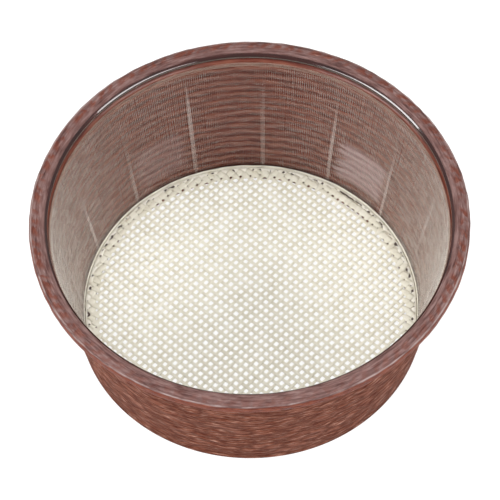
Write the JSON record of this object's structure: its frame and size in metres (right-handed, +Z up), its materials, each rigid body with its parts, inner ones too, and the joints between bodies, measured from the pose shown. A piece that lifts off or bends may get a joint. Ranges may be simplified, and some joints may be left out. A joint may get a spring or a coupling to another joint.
{
  "type": "cheese mold",
  "caption": "Round tapered cheese mold with a rolled lip and an open foot, holding a lift-out net liner and a woven drain mat that lies on the foot's inner ledge.",
  "frame": {"origin": "centre of the foot, on the surface that the mold stands on", "axes": "+Z up along the mold's axis, from the foot to the lip; +X and +Y level, with the first stay 13 degrees from +X"},
  "size_m": [0.13, 0.13, 0.0505],
  "materials": {
    "shell_fibre": "streaky red-brown laminate, rough outside and glossy inside",
    "lip_fibre": "satin, red-brown with mauve-grey streaks",
    "bead_resin": "glossy dark red",
    "liner_net": "open cream net",
    "liner_hem": "melted cream edge",
    "liner_stay": "satin cream",
    "mat_weave": "cream plain weave",
    "mat_border": "melted cream edge"
  },
  "bodies": {
    "shell": {"shell": "shell_fibre", "rim_ring": "lip_fibre", "rim_bead": "bead_resin", "base_ring": "shell_fibre"},
    "liner": {"side_net": "liner_net", "top_hem": "liner_hem", "bottom_hem": "liner_hem", "stay_01": "liner_stay", "stay_02": "liner_stay", "stay_03": "liner_stay", "stay_04": "liner_stay", "stay_05": "liner_stay", "stay_06": "liner_stay", "stay_07": "liner_stay", "stay_08": "liner_stay", "stay_09": "liner_stay", "stay_10": "liner_stay", "stay_11": "liner_stay", "stay_12": "liner_stay", "stay_13": "liner_stay", "stay_14": "liner_stay", "stay_15": "liner_stay"},
    "mat": {"floor_mesh": "mat_weave", "floor_border": "mat_border"}
  },
  "joints": [
    {"name": "liner_lift", "type": "slide", "parent": "shell", "child": "liner", "axis": [0, 0, 1], "range_m": [0, 0.055]},
    {"name": "mat_lift", "type": "slide", "parent": "shell", "child": "mat", "axis": [0, 0, 1], "range_m": [0, 0.056]}
  ]
}
